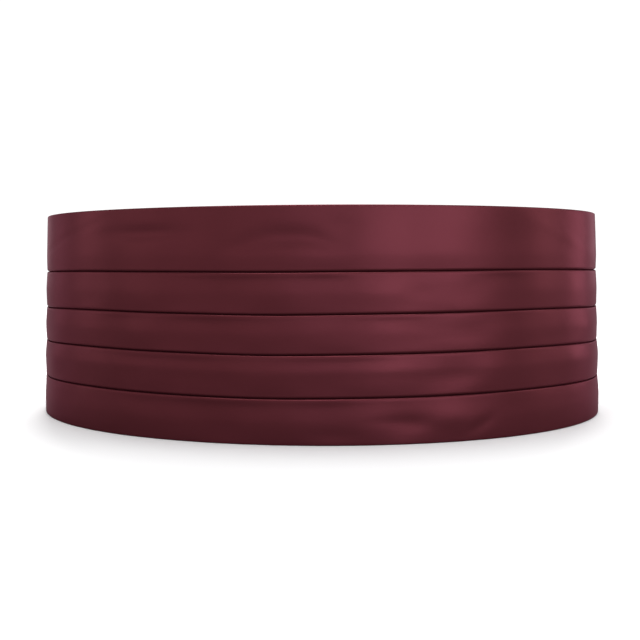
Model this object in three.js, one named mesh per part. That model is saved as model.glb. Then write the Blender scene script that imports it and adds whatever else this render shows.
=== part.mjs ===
// A satin cummerbund with five pleats, standing on its hem with its strap closed behind it.
// Millimetres, +Z up. The pleated front faces -Y, and the origin is under the middle of the loop.
import * as THREE from "three";

// The loop round the waist, measured on the outer face at the top edge.
const height = 125;
const halfWidth = 178.5;
const halfDepth = 128.5;
const flare = 4.2; // the hem stands this much further out than the top edge

// The pleated front, measured round the loop from its middle.
const fullHalf = 250; // as far as this it keeps its full height
const taperLength = 84; // then all the pleats run together
const endHeight = 34; // height of its narrow ends
const frontSpans = 35; // straight spans between the two sleeves

// Cloth and folds.
const cloth = 1; // one ply of satin with its interlining
const plyGap = 0.4; // slit inside a fold
const clearance = 0.3; // between neighbouring pieces
const belly = 0.4; // a face swells this far beyond its own folds
const underLeg = 10; // ply that is turned under at a fold
const tuck = 12; // cloth hidden behind the fold of the pleat below
const turnHeight = 4.6; // a face turns in behind that fold over this height
const backingDrop = 1.5; // the backing stops this far below the top edge

// Straps.
const strapHeight = 30;
const strapThick = 2;
const sleeveLap = 16; // how far the strap's sleeve covers the end of the front
const sleeveMargin = 2; // sleeve above and below the end of the front
const neckLength = 12; // the sleeve narrows into the strap over this length
const strapSpan = 17; // about the length of one straight span of a strap
const returnLength = 22; // strap end, sewn back on itself behind the clasp

// Clasp: a plate with two slots.
const plateThick = 2.4;
const webWidth = 24; // solid middle
const slotWidth = 6;
const barWidth = 4; // outside each slot
const slotMargin = 0.5; // straight part of a slot above and below the strap
const plateMargin = 3; // rim above and below the round-ended slots
const plateRadius = 4;

// One row for each pleat, from the top: its upper fold, as a share of the height.
const pleats = [
  { name: "pleat_1", fold: 1 },
  { name: "pleat_2", fold: 0.7266 },
  { name: "pleat_3", fold: 0.5514 },
  { name: "pleat_4", fold: 0.3831 },
  { name: "pleat_5", fold: 0.2006 },
];

// How a face turns in behind the next fold: inward as a share of the way in to the hidden ply,
// up as a share of turnHeight above that fold.
const turnRows = [
  { inward: 0.06, up: 1 },
  { inward: 0.28, up: 0.5 },
  { inward: 0.68, up: 0.2 },
  { inward: 1, up: -0.1 },
];

// Soft dents in the faces: at and reach as shares of fullHalf, depth as a share of the ply.
const dents = [
  { pleat: "pleat_1", at: -0.1, reach: 0.13, depth: 0.8 },
  { pleat: "pleat_1", at: -0.46, reach: 0.1, depth: 0.5 },
  { pleat: "pleat_3", at: -0.36, reach: 0.2, depth: 0.4 },
  { pleat: "pleat_5", at: 0.26, reach: 0.12, depth: 0.6 },
];

// Places across the wall, outward from the outermost face: the middle of each ply.
const facePly = -belly - cloth / 2;
const underPly = facePly - cloth - plyGap;
const tuckedPly = underPly - cloth - clearance;
const backingPly = tuckedPly - cloth - clearance;
const wallInner = backingPly - cloth / 2;
const middleHeight = height / 2;

// Places along the loop.
const frontEnd = fullHalf + taperLength + sleeveLap;
const plan = new THREE.EllipseCurve(0, 0, halfWidth, halfDepth, -Math.PI / 2, 1.5 * Math.PI);
plan.arcLengthDivisions = 2000;
const loopLength = plan.getLength();
const backMiddle = loopLength / 2;
const barInner = webWidth / 2 + slotWidth; // from the back middle
const barOuter = barInner + barWidth;

// A point of the wall: along the loop from the front middle, outward, and up.
function place(along, out, up) {
  const share = THREE.MathUtils.euclideanModulo(along / loopLength, 1);
  const point = plan.getPointAt(share);
  const tangent = plan.getTangentAt(share);
  const reach = out + flare * (1 - up / height);
  return new THREE.Vector3(point.x + tangent.y * reach, point.y - tangent.x * reach, up);
}

// How much of its full height the front has at a place along the loop.
function heightShare(along) {
  const run = THREE.MathUtils.clamp((Math.abs(along) - fullHalf) / taperLength, 0, 1);
  return 1 - (1 - endHeight / height) * THREE.MathUtils.smoothstep(run, 0, 1);
}

// How far a pleat's face is pushed in at a place along the loop.
function dentDepth(pleat, along) {
  return dents
    .filter((dent) => dent.pleat === pleat)
    .reduce((sum, dent) => {
      const away = (along / fullHalf - dent.at) / dent.reach;
      return sum + dent.depth * cloth * Math.exp(-away * away);
    }, 0);
}

// The outline of a ply of cloth that follows a middle line of { out, up } points.
function plyOutline(line) {
  const sides = line.map((here, i) => {
    const before = line[Math.max(i - 1, 0)];
    const after = line[Math.min(i + 1, line.length - 1)];
    const turnIn = new THREE.Vector2(here.out - before.out, here.up - before.up).normalize();
    const turnOut = new THREE.Vector2(after.out - here.out, after.up - here.up).normalize();
    const way = turnIn.add(turnOut).normalize();
    const side = (half) => ({ ...here, out: here.out + way.y * half, up: here.up - way.x * half });
    return { outer: side(cloth / 2), inner: side(-cloth / 2) };
  });
  return [...sides.map((s) => s.outer), ...sides.map((s) => s.inner).reverse()];
}

// The round turn between a face and the ply under it, seen in section: end is 1 for an upper
// fold and -1 for a hem, and up is the height of the fold's flat crest.
function hairpin(end, up) {
  const radius = (cloth + plyGap) / 2;
  const crest = (radius + cloth / 2) * Math.sin(Math.PI / 3);
  const middle = (facePly + underPly) / 2;
  return [0, 60, 120, 180].map((degrees) => {
    const angle = THREE.MathUtils.degToRad(degrees);
    return {
      out: middle + radius * Math.cos(angle),
      up: up - end * (crest - radius * Math.sin(angle)),
    };
  });
}

// The middle line of a pleat, from its hidden lower end, up its face and over its fold.
function pleatLine(foldUp, nextFoldUp) {
  const line = [];
  if (nextFoldUp === undefined) {
    line.push({ out: underPly, up: underLeg });
    line.push(...hairpin(-1, 0).reverse());
  } else {
    line.push({ out: tuckedPly, up: nextFoldUp - tuck });
    for (const row of [...turnRows].reverse()) {
      line.push({
        out: THREE.MathUtils.lerp(facePly, tuckedPly, row.inward),
        up: nextFoldUp + row.up * turnHeight,
      });
    }
  }
  const faceFoot = line[line.length - 1].up;
  line.push({ out: facePly + belly, up: (faceFoot + foldUp) / 2, soft: 1 });
  line.push(...hairpin(1, foldUp));
  line.push({ out: underPly, up: foldUp - underLeg });
  return line;
}

// The middle line of the backing: it stands out to the folds at both edges and clears the
// hidden ends of the pleats between them.
function backingLine() {
  const lowestTuck = pleats[pleats.length - 1].fold * height - tuck;
  return [
    { out: tuckedPly, up: 0 },
    { out: tuckedPly, up: lowestTuck * 0.4 },
    { out: backingPly, up: lowestTuck * 0.88 },
    { out: backingPly, up: height - underLeg * 0.8 },
    { out: tuckedPly, up: height - underLeg * 0.35 },
    { out: tuckedPly, up: height - backingDrop },
  ];
}

// A closed body from rings of points, each ring joined to the next and the two ends capped.
// flat is the outline of a ring in two dimensions, which the caps are cut from.
function ringBody(rings, flat) {
  const count = flat.length;
  const faces = [];
  for (let ring = 0; ring < rings.length - 1; ring++) {
    for (let i = 0; i < count; i++) {
      const next = (i + 1) % count;
      const [a, b] = [ring * count + i, ring * count + next];
      faces.push([a, a + count, b + count], [a, b + count, b]);
    }
  }
  const lastRing = (rings.length - 1) * count;
  const outline = flat.map(([x, y]) => new THREE.Vector2(x, y));
  const clockwise = THREE.ShapeUtils.isClockWise(outline);
  for (const face of THREE.ShapeUtils.triangulateShape(outline, [])) {
    const [a, b, c] = clockwise ? face.toReversed() : face;
    faces.push([a, b, c], [lastRing + a, lastRing + c, lastRing + b]);
  }
  const points = rings.flat();
  const volume = faces.reduce((sum, [a, b, c]) => {
    return sum + points[a].dot(new THREE.Vector3().crossVectors(points[b], points[c]));
  }, 0);
  const facing = volume > 0 ? faces : faces.map(([a, b, c]) => [a, c, b]);
  const geometry = new THREE.BufferGeometry().setFromPoints(points);
  geometry.setIndex(facing.flat());
  geometry.computeVertexNormals();
  return geometry;
}

// Places along the front where its section is drawn: even steps, then the two sleeves.
const sleeveStart = frontEnd - sleeveLap;
const evenSteps = Array.from({ length: frontSpans + 1 }, (_, i) => {
  return THREE.MathUtils.lerp(-sleeveStart, sleeveStart, i / frontSpans);
});
const frontStations = [-frontEnd, ...evenSteps, frontEnd];

// A folded ply swept along the front, its heights drawn together towards the ends.
function frontPly(line, pleat) {
  const outline = plyOutline(line);
  const rings = frontStations.map((along) => {
    const share = heightShare(along);
    const dent = dentDepth(pleat, along);
    return outline.map(({ out, up, soft = 0 }) => {
      return place(along, out - soft * dent, middleHeight + (up - middleHeight) * share);
    });
  });
  return ringBody(rings, outline.map(({ out, up }) => [out, up]));
}

// A strap seen from above, as [along, out] points: a sleeve round the end of the front, one
// flat run, and a loop round the clasp's outer bar with its end turned back inside.
const strapOuter = (wallInner + strapThick) / 2;
const strapInner = strapOuter - strapThick;
const plateOuter = strapInner - clearance;
const plateInner = plateOuter - plateThick;
function strapOutline() {
  const mouth = frontEnd + clearance;
  const neck = frontEnd + neckLength;
  const bar = backMiddle - barOuter;
  const returnEnd = bar - returnLength;
  const returnStart = bar - returnLength * 0.35;
  const spans = Math.max(1, Math.round((returnEnd - neck) / strapSpan));
  const run = Array.from({ length: spans }, (_, i) => neck + ((returnEnd - neck) * i) / spans);
  const stations = [...run, returnEnd, returnStart, bar];
  const slotSide = backMiddle - barInner + clearance;
  const turn = strapThick / 3;
  const loopEnd = slotSide + strapThick;
  const underBar = plateInner - clearance;
  const sleeveOut = clearance + cloth;
  const sleeveIn = wallInner - clearance - cloth;
  return [
    [sleeveStart, sleeveOut],
    [mouth, sleeveOut],
    ...stations.map((along) => [along, strapOuter]),
    [loopEnd - turn, strapOuter],
    [loopEnd, strapOuter - turn],
    [loopEnd, underBar - strapThick + turn],
    [loopEnd - turn, underBar - strapThick],
    [bar, underBar - strapThick],
    [returnStart, plateOuter - strapThick],
    [returnEnd, plateOuter - strapThick],
    [returnEnd, plateOuter],
    [returnStart, plateOuter],
    [bar, underBar],
    [slotSide, underBar],
    [slotSide, strapInner],
    ...stations.reverse().map((along) => [along, strapInner]),
    [mouth, sleeveIn],
    [sleeveStart, sleeveIn],
    [sleeveStart, wallInner - clearance],
    [mouth, wallInner - clearance],
    [mouth, clearance],
    [sleeveStart, clearance],
  ];
}

// Half the height of a strap at a place along it.
function strapHalf(along) {
  const sleeveHalf = endHeight / 2 + sleeveMargin;
  const narrowing = (along - frontEnd) / neckLength;
  const run = THREE.MathUtils.clamp(narrowing, 0, 1);
  return THREE.MathUtils.lerp(sleeveHalf, strapHeight / 2, run);
}

// A strap on one side: side is 1 towards +X and -1 towards -X.
function strapBody(side) {
  const outline = strapOutline();
  const rings = [-1, 1].map((end) => {
    return outline.map(([along, out]) => {
      return place(side * along, out, middleHeight + end * strapHalf(along));
    });
  });
  return ringBody(rings, rings[0].map(({ x, y }) => [x, y]));
}

// The clasp: a rounded plate with two upright round-ended slots, bent to the curve of the loop.
function claspBody() {
  const halfSlot = strapHeight / 2 + slotMargin;
  const halfHigh = halfSlot + slotWidth / 2 + plateMargin;
  const plate = new THREE.Shape();
  const corner = barOuter - plateRadius;
  const cornerUp = halfHigh - plateRadius;
  plate.moveTo(-corner, -halfHigh);
  plate.absarc(corner, -cornerUp, plateRadius, -Math.PI / 2, 0);
  plate.absarc(corner, cornerUp, plateRadius, 0, Math.PI / 2);
  plate.absarc(-corner, cornerUp, plateRadius, Math.PI / 2, Math.PI);
  plate.absarc(-corner, -cornerUp, plateRadius, Math.PI, 1.5 * Math.PI);
  for (const side of [-1, 1]) {
    const slot = new THREE.Path();
    const middle = (side * (webWidth + slotWidth)) / 2;
    slot.absarc(middle, halfSlot, slotWidth / 2, 0, Math.PI);
    slot.absarc(middle, -halfSlot, slotWidth / 2, Math.PI, 2 * Math.PI);
    plate.holes.push(slot);
  }
  const options = { depth: plateThick, bevelEnabled: false, curveSegments: 4 };
  const geometry = new THREE.ExtrudeGeometry(plate, options);
  const position = geometry.getAttribute("position");
  for (let i = 0; i < position.count; i++) {
    const along = backMiddle + position.getX(i);
    const out = plateInner + position.getZ(i);
    const bent = place(along, out, middleHeight + position.getY(i));
    position.setXYZ(i, bent.x, bent.y, bent.z);
  }
  geometry.computeVertexNormals();
  return geometry;
}

const satin = new THREE.MeshStandardMaterial({ color: 0x6b2430, roughness: 0.45, metalness: 0 });
const lining = new THREE.MeshStandardMaterial({ color: 0x4a1a24, roughness: 0.7, metalness: 0 });
const strapCloth = new THREE.MeshStandardMaterial({ color: 0x5c1f2a, roughness: 0.55, metalness: 0 });
const plastic = new THREE.MeshStandardMaterial({ color: 0x1b1214, roughness: 0.4, metalness: 0 });

function piece(name, geometry, material) {
  const mesh = new THREE.Mesh(geometry, material);
  mesh.name = name;
  return mesh;
}

const loop = new THREE.Group();
pleats.forEach(({ name, fold }, i) => {
  const next = pleats[i + 1];
  const line = pleatLine(fold * height, next && next.fold * height);
  loop.add(piece(name, frontPly(line, name), satin));
});
loop.add(piece("backing", frontPly(backingLine(), "backing"), lining));
loop.add(piece("strap_left", strapBody(-1), strapCloth));
loop.add(piece("strap_right", strapBody(1), strapCloth));
loop.add(piece("clasp", claspBody(), plastic));

// The loop is set so that the origin lies under the middle of its box.
const box = new THREE.Box3().setFromObject(loop, true);
loop.position.y = -(box.min.y + box.max.y) / 2;

const cummerbund = new THREE.Group();
cummerbund.add(loop);

export default cummerbund;
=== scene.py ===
# %% [markdown]
# A satin cummerbund with five pleats, standing on its hem.
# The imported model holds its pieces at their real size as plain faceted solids.
# This lesson dresses them: each pleat becomes a thin folded ply of satin, the straps become
# woven bands with stitched sleeves, and the clasp gets rounded edges.
# Everything is in metres, in the model's own frame: +Z up, and the pleated front faces -Y.

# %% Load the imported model
import math

import bmesh
import bpy
import numpy as np
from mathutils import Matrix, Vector


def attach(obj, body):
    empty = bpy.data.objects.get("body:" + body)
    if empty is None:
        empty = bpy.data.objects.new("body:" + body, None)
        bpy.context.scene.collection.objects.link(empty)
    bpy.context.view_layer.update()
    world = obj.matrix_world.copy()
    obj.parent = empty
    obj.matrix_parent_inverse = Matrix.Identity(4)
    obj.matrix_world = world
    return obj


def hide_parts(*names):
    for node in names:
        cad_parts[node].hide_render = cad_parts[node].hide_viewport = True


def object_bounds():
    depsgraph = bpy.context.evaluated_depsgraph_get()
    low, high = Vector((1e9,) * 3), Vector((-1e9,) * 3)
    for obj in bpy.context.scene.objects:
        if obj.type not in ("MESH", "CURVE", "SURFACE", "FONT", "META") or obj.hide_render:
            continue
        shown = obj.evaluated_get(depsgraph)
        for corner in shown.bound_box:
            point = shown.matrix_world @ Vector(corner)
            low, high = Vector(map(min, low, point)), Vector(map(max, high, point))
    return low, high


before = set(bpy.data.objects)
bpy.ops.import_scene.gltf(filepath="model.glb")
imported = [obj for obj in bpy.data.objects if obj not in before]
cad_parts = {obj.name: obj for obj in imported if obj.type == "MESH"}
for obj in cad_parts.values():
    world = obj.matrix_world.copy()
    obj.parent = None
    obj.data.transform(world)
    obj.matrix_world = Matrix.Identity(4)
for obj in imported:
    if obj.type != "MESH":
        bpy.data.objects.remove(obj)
cad_low, cad_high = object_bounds()
print("CAD box in metres:", tuple(cad_low), tuple(cad_high))

# %% [markdown]
# The whole sash follows one oval round the waist, leaning out a little towards the hem.
# A place on it is given in wall coordinates: along the loop from the middle of the front,
# out from its outermost face, and up from the surface it stands on.
# Every piece below is described in these three numbers, so that neighbours always fit.

# %% The loop round the waist
MM = 0.001
HEIGHT = cad_high.z
HALF_WIDTH = 178.5 * MM
HALF_DEPTH = 128.5 * MM
FLARE = 4.2 * MM  # the hem stands this much further out than the top edge
LOOP_Y = 1.6 * MM  # the oval's middle lies this far behind the origin
MIDDLE_UP = HEIGHT / 2
OVAL_STEPS = 7200

turns = np.linspace(0, 2 * math.pi, OVAL_STEPS + 1)
steps = np.hypot(
    np.diff(HALF_WIDTH * np.sin(turns)), np.diff(HALF_DEPTH * np.cos(turns))
)
lengths = np.concatenate([[0], np.cumsum(steps)])
LOOP_LENGTH = lengths[-1]


def oval(along):
    """Points on the oval at these distances from the front middle, and the way out there."""
    turn = np.interp(np.mod(along, LOOP_LENGTH), lengths, turns)
    zero = np.zeros_like(turn)
    point = np.stack([HALF_WIDTH * np.sin(turn), LOOP_Y - HALF_DEPTH * np.cos(turn), zero], -1)
    way = np.stack([HALF_DEPTH * np.sin(turn), -HALF_WIDTH * np.cos(turn), zero], -1)
    return point, way / np.linalg.norm(way, axis=-1, keepdims=True)


def wall(along, out, up):
    """Wall coordinates turned into points of the model's frame."""
    along, out, up = np.broadcast_arrays(*(np.asarray(v, float) for v in (along, out, up)))
    point, way = oval(along)
    place = point + way * (out + FLARE * (1 - up / HEIGHT))[..., None]
    place[..., 2] = up
    return place


print(f"The loop is {LOOP_LENGTH * 1000:.0f} mm round at the top edge.")

# %% [markdown]
# The camera comes next, because it decides how the lines of the pleats bend in the picture.
# It stands about half a metre in front, a little below the top edge, and looks down by about
# four degrees: the top edge then arches up and every lower fold arches down.

# %% The camera
CAMERA_BACK = 556.7 * MM  # from the oval's middle
CAMERA_UP = 95.6 * MM
CAMERA_SIDE = 0.9 * MM  # to the right of the line through the oval's middle
TURN_DEG = 3.8  # round the object, towards its right end
PITCH_DEG = 4.03
ROLL_DEG = 0.23
LENS_MM = 46.55
SENSOR_MM = 36.0

camera_data = bpy.data.cameras.new("camera")
camera_data.lens = LENS_MM
camera_data.sensor_width = SENSOR_MM
camera = bpy.data.objects.new("camera", camera_data)
camera_turn = math.radians(TURN_DEG)
camera.location = (
    CAMERA_BACK * math.sin(camera_turn) + CAMERA_SIDE * math.cos(camera_turn),
    LOOP_Y - CAMERA_BACK * math.cos(camera_turn) + CAMERA_SIDE * math.sin(camera_turn),
    CAMERA_UP,
)
camera.rotation_mode = "XYZ"
camera.rotation_euler = [math.radians(a) for a in (90 - PITCH_DEG, ROLL_DEG, TURN_DEG)]
bpy.context.scene.collection.objects.link(camera)
bpy.context.scene.camera = camera
print(f"The camera is {CAMERA_BACK * 1000:.0f} mm from the middle of the loop.")

# %% [markdown]
# Geometry Nodes make most of this object, and each tree is written out in code. A few small
# helpers keep that readable. They open a tree with named inputs, add a node and feed it, do
# one sum, read a named value from the points, and end a tree in real geometry.

# %% Helpers for node trees
def named_tree(name, inputs):
    """An empty Geometry Nodes tree with a geometry input and output and these inputs."""
    tree = bpy.data.node_groups.new(name, "GeometryNodeTree")
    tree.interface.new_socket("Geometry", in_out="INPUT", socket_type="NodeSocketGeometry")
    for label, kind in inputs:
        tree.interface.new_socket(label, in_out="INPUT", socket_type="NodeSocket" + kind)
    tree.interface.new_socket("Geometry", in_out="OUTPUT", socket_type="NodeSocketGeometry")
    return tree


def add_node(tree, kind, links=(), **settings):
    """Adds a node, sets its properties and feeds its inputs from sockets or plain values."""
    node = tree.nodes.new(kind)
    for name, value in settings.items():
        setattr(node, name, value)
    for key, value in dict(links).items():
        if isinstance(value, bpy.types.NodeSocket):
            tree.links.new(value, node.inputs[key])
        else:
            node.inputs[key].default_value = value
    return node


def number(tree, operation, a, b):
    return add_node(tree, "ShaderNodeMath", {0: a, 1: b}, operation=operation).outputs[0]


def attribute(tree, name, kind="FLOAT"):
    node = add_node(tree, "GeometryNodeInputNamedAttribute", {"Name": name}, data_type=kind)
    return node.outputs["Attribute"]


def finish_tree(tree, geometry, material):
    """Ends a tree in real geometry with its material on it."""
    real = add_node(tree, "GeometryNodeRealizeInstances", {"Geometry": geometry})
    dressed = add_node(
        tree, "GeometryNodeSetMaterial", {"Geometry": real.outputs[0], "Material": material}
    )
    end = add_node(tree, "NodeGroupOutput")
    tree.links.new(dressed.outputs[0], end.inputs[0])


print("Helpers for node trees are ready.")

# %% [markdown]
# Most of this object is one idea: a section of cloth swept round the waist.
# Geometry Nodes do that for every cloth piece. The tree takes a route, whose points carry
# where they are and which way is out, and a section, whose points carry how far out and how
# high they lie. Curve to Mesh joins them into a skin, and Set Position moves each point to
# its place. A height has two parts: an anchor, which is drawn towards mid height where
# the front narrows, and a local part, which keeps a fold's own size there.

# %% A tree that sweeps a section round the loop
def make_sweep_tree():
    tree = named_tree(
        "sweep_section",
        [("Section", "Object"), ("Height", "Float"), ("Flare", "Float"), ("Material", "Material")],
    )
    given = add_node(tree, "NodeGroupInput").outputs
    section = add_node(tree, "GeometryNodeObjectInfo", {"Object": given["Section"]})
    profile = add_node(tree, "GeometryNodeMeshToCurve", {"Mesh": section.outputs["Geometry"]})
    route = add_node(tree, "GeometryNodeMeshToCurve", {"Mesh": given["Geometry"]})
    skin = add_node(
        tree,
        "GeometryNodeCurveToMesh",
        {"Curve": route.outputs[0], "Profile Curve": profile.outputs[0], "Fill Caps": True},
    )
    middle = number(tree, "MULTIPLY", given["Height"], 0.5)
    from_middle = number(tree, "SUBTRACT", attribute(tree, "anchor"), middle)
    drawn = number(tree, "MULTIPLY", from_middle, attribute(tree, "share"))
    up = number(tree, "ADD", number(tree, "ADD", middle, drawn), attribute(tree, "local"))
    fall = number(tree, "SUBTRACT", 1.0, number(tree, "DIVIDE", up, given["Height"]))
    lean = number(tree, "MULTIPLY", fall, given["Flare"])
    place = attribute(tree, "place", "FLOAT_VECTOR")
    for way, amount in (("side", attribute(tree, "out")), ("lean", lean)):
        moved = add_node(
            tree,
            "ShaderNodeVectorMath",
            {0: attribute(tree, way, "FLOAT_VECTOR"), "Scale": amount},
            operation="SCALE",
        )
        place = add_node(
            tree, "ShaderNodeVectorMath", {0: place, 1: moved.outputs[0]}, operation="ADD"
        ).outputs[0]
    raised = add_node(tree, "ShaderNodeCombineXYZ", {"Z": up})
    place = add_node(
        tree, "ShaderNodeVectorMath", {0: place, 1: raised.outputs[0]}, operation="ADD"
    )
    set_place = add_node(
        tree, "GeometryNodeSetPosition", {"Geometry": skin.outputs[0], "Position": place.outputs[0]}
    )
    finish_tree(tree, set_place.outputs[0], given["Material"])
    return tree


SWEEP = make_sweep_tree()
print("Sweep tree:", len(SWEEP.nodes), "nodes")

# %% [markdown]
# A tree is put to work by a modifier. Its inputs are set by their identifiers before the
# object is first evaluated. The result is then copied out as a plain mesh, the modifier
# goes, and the helper objects go with it, so that only finished meshes stay.

# %% Run a tree and keep its mesh
def polyline(name, count, closed, **attributes):
    """A line of count points whose attributes say all that the sweep needs to know."""
    mesh = bpy.data.meshes.new(name)
    pairs = [(i, i + 1) for i in range(count - 1)] + ([(count - 1, 0)] if closed else [])
    mesh.from_pydata([(i * MM, 0, 0) for i in range(count)], pairs, [])
    for key, values in attributes.items():
        values = np.asarray(values, np.float32)
        kind, field = ("FLOAT_VECTOR", "vector") if values.ndim == 2 else ("FLOAT", "value")
        mesh.attributes.new(key, kind, "POINT").data.foreach_set(field, values.ravel())
    line = bpy.data.objects.new(name, mesh)
    bpy.context.scene.collection.objects.link(line)
    return line


def grown_mesh(tree, start, settings):
    """The mesh that a tree makes from a start object, as plain data."""
    modifier = start.modifiers.new(tree.name, "NODES")
    modifier.node_group = tree
    for item in tree.interface.items_tree:
        if item.in_out == "INPUT" and item.name in settings:
            modifier[item.identifier] = settings[item.name]
    depsgraph = bpy.context.evaluated_depsgraph_get()
    mesh = bpy.data.meshes.new_from_object(
        start.evaluated_get(depsgraph), preserve_all_data_layers=True, depsgraph=depsgraph
    )
    bpy.data.objects.remove(start)
    return mesh


print("Helpers for growing meshes are ready.")

# %% [markdown]
# Every piece ends in the same way. Its faces are turned outwards, it gets a UV map in metres
# along and across the cloth, the values that only the sweep needed are removed, and it rides
# the model's one body. Two small helpers read a mesh's values and places before that,
# because the dents are worked out in code from what each point carries.

# %% Read a mesh, and finish it as a piece
SCAFFOLD = ("place", "side", "lean", "share", "along", "out", "anchor", "local", "soft", "arc")


def values_of(mesh, name):
    values = np.zeros(len(mesh.vertices), np.float32)
    mesh.attributes[name].data.foreach_get("value", values)
    return values.astype(float)


def points_of(mesh):
    points = np.zeros(len(mesh.vertices) * 3, np.float32)
    mesh.vertices.foreach_get("co", points)
    return points.reshape(-1, 3).astype(float)


def finished_piece(name, mesh, material, uv=None):
    """Turns a mesh's faces out, gives it its UV map and material, and rides it on the model."""
    if uv is not None:
        corners = np.zeros(len(mesh.loops), np.int32)
        mesh.loops.foreach_get("vertex_index", corners)
        layer = mesh.uv_layers.new(name="cloth")
        layer.data.foreach_set("uv", uv[corners].astype(np.float32).ravel())
    work = bmesh.new()
    work.from_mesh(mesh)
    bmesh.ops.recalc_face_normals(work, faces=work.faces)
    work.to_mesh(mesh)
    work.free()
    mesh.shade_smooth()
    for key in [a.name for a in mesh.attributes if a.name in SCAFFOLD]:
        mesh.attributes.remove(mesh.attributes[key])
    mesh.materials.clear()
    mesh.materials.append(material)
    piece = bpy.data.objects.new(name, mesh)
    bpy.context.scene.collection.objects.link(piece)
    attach(piece, "root")
    return piece


print("Each finished piece sheds:", SCAFFOLD)

# %% [markdown]
# No finish here is one flat colour. Each starts from the Principled shader. Noise, with its
# own scale in each direction, drives a tone between two close colours, and often the
# roughness and a fine bump as well. What is the same all over a surface is set on the shader
# itself, because an exported model keeps it there.

# %% Helpers for finishes
def new_material(name, **sockets):
    material = bpy.data.materials.new(name)
    material.use_nodes = True
    shader = material.node_tree.nodes["Principled BSDF"]
    for label, value in sockets.items():
        shader.inputs[label.replace("_", " ")].default_value = value
    return material, material.node_tree, shader


def scaled_noise(tree, coordinates, scale, detail=2.0):
    """Noise with its own scale in each direction, in features for each metre."""
    mapping = add_node(tree, "ShaderNodeMapping", {"Vector": coordinates, "Scale": scale})
    noise = add_node(
        tree,
        "ShaderNodeTexNoise",
        {"Vector": mapping.outputs[0], "Scale": 1.0, "Detail": detail},
    )
    return noise.outputs["Fac"]


def ramp_between(tree, factor, low, high):
    return add_node(
        tree,
        "ShaderNodeMapRange",
        {"Value": factor, "From Min": 0.3, "From Max": 0.7, "To Min": low, "To Max": high},
    ).outputs[0]


def tone_between(tree, factor, dark, light):
    mix = add_node(tree, "ShaderNodeMix", {"Factor": factor}, data_type="RGBA")
    mix.inputs["A"].default_value = (*dark, 1)
    mix.inputs["B"].default_value = (*light, 1)
    return mix.outputs["Result"]


print("Helpers for finishes are ready.")

# %% [markdown]
# Satin is woven so that long threads float on its face, which gives it a soft, wide gloss.
# Its dye tints the gloss too, so the highlight here is a dusty pink and not white. A plain
# glossy shader would leave it white, so half of this one is metallic, which takes the tint
# of its base, and the gloss of the rest is tinted pink. The gloss is wider across the
# threads than along them. Fine threads along the cloth are bump, on a UV map in metres, and
# slow noise varies tone and gloss as pressing and handling do.

# %% Satin
def satin_finish():
    material, tree, shader = new_material(
        "satin",
        IOR=1.5,
        Metallic=0.55,
        Specular_IOR_Level=0.22,
        Specular_Tint=(1.0, 0.4, 0.55, 1),
        Sheen_Weight=0.05,
        Sheen_Roughness=0.3,
        Sheen_Tint=(1.0, 0.2, 0.35, 1),
        Anisotropic=0.3,
        Anisotropic_Rotation=0.25,
    )
    uv = add_node(tree, "ShaderNodeUVMap", uv_map="cloth").outputs[0]
    along = add_node(tree, "ShaderNodeTangent", direction_type="UV_MAP", uv_map="cloth")
    tree.links.new(along.outputs[0], shader.inputs["Tangent"])
    patches = scaled_noise(tree, uv, (24, 45, 1))
    tree.links.new(
        tone_between(tree, patches, (0.135, 0.0268, 0.0333), (0.160, 0.032, 0.0413)),
        shader.inputs["Base Color"],
    )
    tree.links.new(ramp_between(tree, patches, 0.32, 0.37), shader.inputs["Roughness"])
    threads = scaled_noise(tree, uv, (160, 5200, 1), 1.0)
    slubs = scaled_noise(tree, uv, (45, 900, 1), 1.0)
    height = number(tree, "ADD", threads, number(tree, "MULTIPLY", slubs, 0.6))
    bump = add_node(
        tree, "ShaderNodeBump", {"Height": height, "Strength": 0.25, "Distance": 0.00006}
    )
    tree.links.new(bump.outputs[0], shader.inputs["Normal"])
    return material


SATIN = satin_finish()
print("Finish:", SATIN.name)

# %% [markdown]
# The lining is a dull twill, whose fine ribs slant, and the strap is a woven band with
# upright ribs. One function makes both: a wave texture runs across the ribs, and speckle
# breaks them up as the threads of a weave do.

# %% Twill and ribbed band
RIBS_PER_SCALE = 20 / (2 * math.pi)  # a wave texture of scale 1 has this many in a metre


def ribbed_finish(name, tones, rib_mm, rib_way, strength, roughness):
    """Woven cloth with fine ribs: a twill when they slant, a ribbed band when they don't."""
    material, tree, shader = new_material(
        name,
        Roughness=roughness,
        Specular_IOR_Level=0.3,
        Specular_Tint=(1.0, 0.35, 0.48, 1),
        Sheen_Weight=0.15,
        Sheen_Tint=(1.0, 0.3, 0.42, 1),
    )
    uv = add_node(tree, "ShaderNodeUVMap", uv_map="cloth").outputs[0]
    turned = add_node(tree, "ShaderNodeMapping", {"Vector": uv, "Rotation": (0, 0, rib_way)})
    ribs = add_node(
        tree,
        "ShaderNodeTexWave",
        {"Vector": turned.outputs[0], "Scale": 1000 / rib_mm / RIBS_PER_SCALE, "Distortion": 0.4},
    )
    speckle = scaled_noise(tree, uv, (1800, 1800, 1), 1.0)
    tree.links.new(tone_between(tree, speckle, *tones), shader.inputs["Base Color"])
    height = number(tree, "ADD", ribs.outputs["Fac"], number(tree, "MULTIPLY", speckle, 0.5))
    bump = add_node(
        tree, "ShaderNodeBump", {"Height": height, "Strength": strength, "Distance": 0.0002}
    )
    tree.links.new(bump.outputs[0], shader.inputs["Normal"])
    return material


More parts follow.
